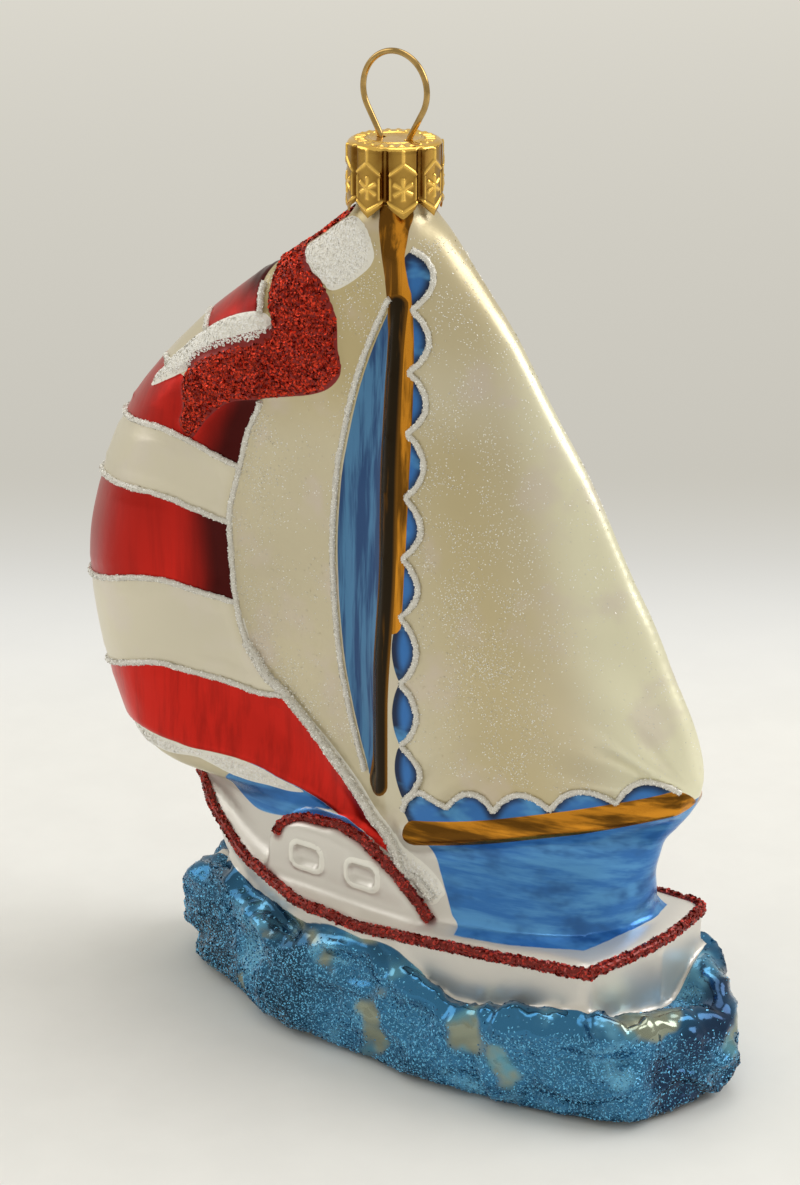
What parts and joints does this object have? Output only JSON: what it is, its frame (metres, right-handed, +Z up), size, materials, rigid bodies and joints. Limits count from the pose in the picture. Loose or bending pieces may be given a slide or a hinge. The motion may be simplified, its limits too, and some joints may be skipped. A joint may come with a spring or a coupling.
{
  "type": "blown glass sailboat ornament",
  "caption": "Hollow blown glass tree ornament shaped as a sailing boat on waves, with full sails, mast and boom in relief, under a stamped metal cap with a wire loop to hang it by.",
  "frame": {"origin": "on the neck's vertical axis, at the level of the flat foot under the waves", "axes": "+X towards the stern, +Y to starboard, +Z up towards the hanging loop"},
  "size_m": [0.119, 0.0452, 0.1531],
  "materials": {
    "painted_glass": "silvered inside and hand painted outside in satin pearl, red and blue lacquer with glitter",
    "cap_metal": "thin stamped sheet, bright gold",
    "hanger_wire": "bright gold plated spring wire"
  },
  "bodies": {
    "root": {"glass_body": "painted_glass", "cap": "cap_metal", "hanger": "hanger_wire"}
  },
  "joints": []
}
